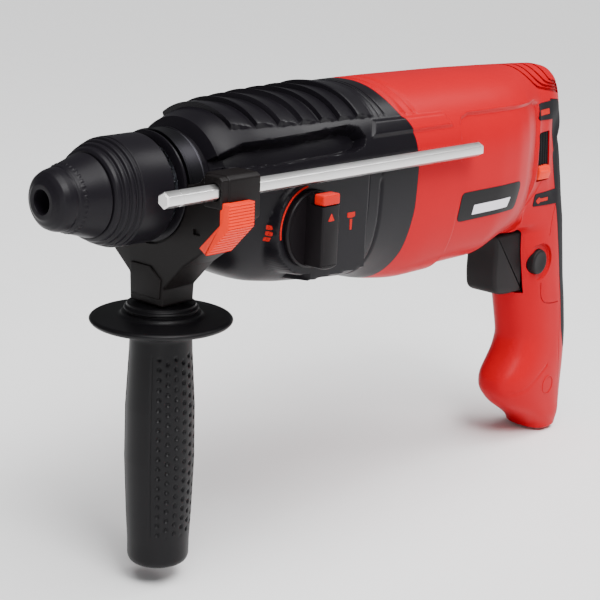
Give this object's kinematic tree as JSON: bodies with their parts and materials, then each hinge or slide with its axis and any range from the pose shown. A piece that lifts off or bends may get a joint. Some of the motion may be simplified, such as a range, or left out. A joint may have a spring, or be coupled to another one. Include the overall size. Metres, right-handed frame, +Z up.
{
  "type": "rotary hammer",
  "caption": "Pistol-grip rotary hammer with a keyless tool chuck, mode selector, trigger, clamp-on side handle and depth rod.",
  "frame": {"origin": "on the spindle axis where the end of a tool meets the anvil's face", "axes": "+X along the spindle towards the nose, +Y to the operator's left, +Z up, away from the handle's heel"},
  "size_m": [0.377, 0.0882, 0.2137],
  "materials": {
    "red_plastic": "moulded nylon, light sheen",
    "black_plastic": "moulded nylon, fine texture",
    "soft_plastic": "soft-touch overmould",
    "rubber": "moulded rubber",
    "orange_plastic": "moulded plastic",
    "steel": "ground steel",
    "dark_steel": "hardened steel, oiled",
    "bright_steel": "bright drawn bar",
    "aluminium": "die-cast aluminium",
    "copper": "varnished copper winding",
    "brass": "stamped brass",
    "carbon": "pressed carbon",
    "plate": "printed foil"
  },
  "bodies": {
    "housing": {"gear_housing": "black_plastic", "motor_housing": "red_plastic", "handle_heel": "red_plastic", "handle_cover": "red_plastic", "soft_grip": "soft_plastic", "rating_plate": "plate", "cord_inlet": "rubber", "spindle_bearing": "steel", "shaft_front_bearing": "steel", "shaft_rear_bearing": "steel", "bearing_flange": "aluminium", "rear_bearing_bridge": "black_plastic", "motor_front_bearing": "steel", "motor_rear_bearing": "steel", "stator_core": "dark_steel", "field_coil_upper": "copper", "field_coil_lower": "copper", "switch_body": "black_plastic"},
    "spindle": {"spindle": "steel", "tool_holder": "steel", "spindle_gear": "dark_steel", "clutch_spring": "dark_steel", "clutch_washer": "steel", "dust_cap": "rubber", "sleeve_spring": "dark_steel"},
    "sleeve": {"locking_sleeve": "black_plastic", "locking_ring": "steel"},
    "ball_left": {"locking_ball_left": "steel"},
    "ball_right": {"locking_ball_right": "steel"},
    "anvil": {"anvil": "steel"},
    "striker": {"striker": "steel"},
    "piston": {"piston": "aluminium"},
    "piston_pin": {"piston_pin": "steel"},
    "wobble": {"wobble_plate": "steel"},
    "layshaft": {"intermediate_shaft": "dark_steel", "driven_gear": "dark_steel", "wobble_hub": "dark_steel"},
    "clutch": {"clutch_sleeve": "dark_steel"},
    "selector": {"selector_knob": "black_plastic", "selector_cam": "brass"},
    "knob_lock": {"knob_lock_button": "red_plastic"},
    "shifter": {"shift_plate": "steel"},
    "armature": {"armature_shaft": "dark_steel", "armature_core": "copper", "commutator": "copper", "fan": "black_plastic"},
    "reversing": {"brush_plate": "orange_plastic", "carbon_brush_left": "carbon", "carbon_brush_right": "carbon", "brush_spring_left": "dark_steel", "brush_spring_right": "dark_steel"},
    "trigger": {"trigger": "soft_plastic"},
    "lock_on": {"lock_on_button": "black_plastic"},
    "clamp": {"clamp_body": "black_plastic", "clamp_strap": "dark_steel", "clamp_bolt": "steel"},
    "rod": {"depth_rod": "bright_steel"},
    "rod_release": {"release_button": "orange_plastic"},
    "grip": {"side_grip": "black_plastic", "grip_nut": "steel"}
  },
  "joints": [
    {"name": "armature_spin", "type": "hinge", "parent": "housing", "child": "armature", "pos_m": [-0.18, 0, -0.01], "axis": [1, 0, 0], "continuous": true},
    {"name": "layshaft_spin", "type": "hinge", "parent": "housing", "child": "layshaft", "pos_m": [-0.09, 0, -0.03], "axis": [1, 0, 0], "continuous": true},
    {"name": "spindle_spin", "type": "hinge", "parent": "housing", "child": "spindle", "pos_m": [0, 0, 0], "axis": [1, 0, 0], "continuous": true},
    {"name": "sleeve_slide", "type": "slide", "parent": "spindle", "child": "sleeve", "axis": [-1, 0, 0], "range_m": [0, 0.004], "stiffness_N_per_m": 900, "springref_m": -0.004, "deforming": ["sleeve_spring"]},
    {"name": "ball_left_slide", "type": "slide", "parent": "spindle", "child": "ball_left", "axis": [0, 1, 0], "range_m": [0, 0.002]},
    {"name": "ball_right_slide", "type": "slide", "parent": "spindle", "child": "ball_right", "axis": [0, -1, 0], "range_m": [0, 0.002]},
    {"name": "anvil_slide", "type": "slide", "parent": "spindle", "child": "anvil", "axis": [1, 0, 0], "range_m": [0, 0.003]},
    {"name": "striker_slide", "type": "slide", "parent": "spindle", "child": "striker", "axis": [1, 0, 0], "range_m": [-0.006, 0.0028]},
    {"name": "wobble_swing", "type": "hinge", "parent": "housing", "child": "wobble", "pos_m": [-0.108, 0, -0.03], "axis": [0, 1, 0], "range_deg": [-15, 15]},
    {"name": "piston_slide", "type": "slide", "parent": "housing", "child": "piston", "axis": [1, 0, 0], "range_m": [-0.0079, 0.0079]},
    {"name": "pin_turn", "type": "hinge", "parent": "piston", "child": "piston_pin", "pos_m": [-0.108, 0, 0], "axis": [0, 1, 0], "range_deg": [-15.5, 15.5]},
    {"name": "selector_turn", "type": "hinge", "parent": "housing", "child": "selector", "pos_m": [-0.059, 0.045, -0.019], "axis": [0, 1, 0], "range_deg": [-90, 90]},
    {"name": "knob_lock_press", "type": "slide", "parent": "selector", "child": "knob_lock", "axis": [0, -1, 0], "range_m": [0, 0.0015], "stiffness_N_per_m": 400, "springref_m": -0.002},
    {"name": "shift_slide", "type": "slide", "parent": "housing", "child": "shifter", "axis": [1, 0, 0], "range_m": [-0.0026, 0.0026]},
    {"name": "clutch_slide", "type": "slide", "parent": "layshaft", "child": "clutch", "axis": [1, 0, 0], "range_m": [-0.0026, 0.0026]},
    {"name": "trigger_pull", "type": "slide", "parent": "housing", "child": "trigger", "axis": [-1, 0, 0], "range_m": [0, 0.006], "stiffness_N_per_m": 500, "springref_m": -0.006},
    {"name": "lock_on_press", "type": "slide", "parent": "housing", "child": "lock_on", "axis": [0, -1, 0], "range_m": [0, 0.0022], "stiffness_N_per_m": 400, "springref_m": -0.003},
    {"name": "reversing_turn", "type": "hinge", "parent": "housing", "child": "reversing", "pos_m": [-0.221, 0, -0.01], "axis": [1, 0, 0], "range_deg": [0, 50]},
    {"name": "side_handle_swing", "type": "hinge", "parent": "housing", "child": "clamp", "pos_m": [-0.0096, 0, 0], "axis": [1, 0, 0], "range_deg": [-2, 60]},
    {"name": "rod_slide", "type": "slide", "parent": "clamp", "child": "rod", "axis": [1, 0, 0], "range_m": [-0.03, 0.1]},
    {"name": "rod_release_press", "type": "slide", "parent": "clamp", "child": "rod_release", "axis": [0, -1, 0], "range_m": [0, 0.0015], "stiffness_N_per_m": 400, "springref_m": -0.002},
    {"name": "grip_turn", "type": "hinge", "parent": "clamp", "child": "grip", "pos_m": [-0.0096, 0, -0.1], "axis": [0, 0, 1], "continuous": true}
  ],
  "couplings": [
    {"joint": "layshaft_spin", "follows": "armature_spin", "ratio": -0.16279},
    {"joint": "spindle_spin", "follows": "armature_spin", "ratio": 0.040698},
    {"joint": "ball_left_slide", "follows": "sleeve_slide", "ratio": 0.5},
    {"joint": "ball_right_slide", "follows": "sleeve_slide", "ratio": 0.5},
    {"joint": "piston_slide", "follows": "wobble_swing", "m_per_rad": 0.0298},
    {"joint": "pin_turn", "follows": "wobble_swing", "ratio": 1},
    {"joint": "shift_slide", "follows": "selector_turn", "m_per_rad": 0.0015915},
    {"joint": "clutch_slide", "follows": "selector_turn", "m_per_rad": 0.0015915}
  ]
}
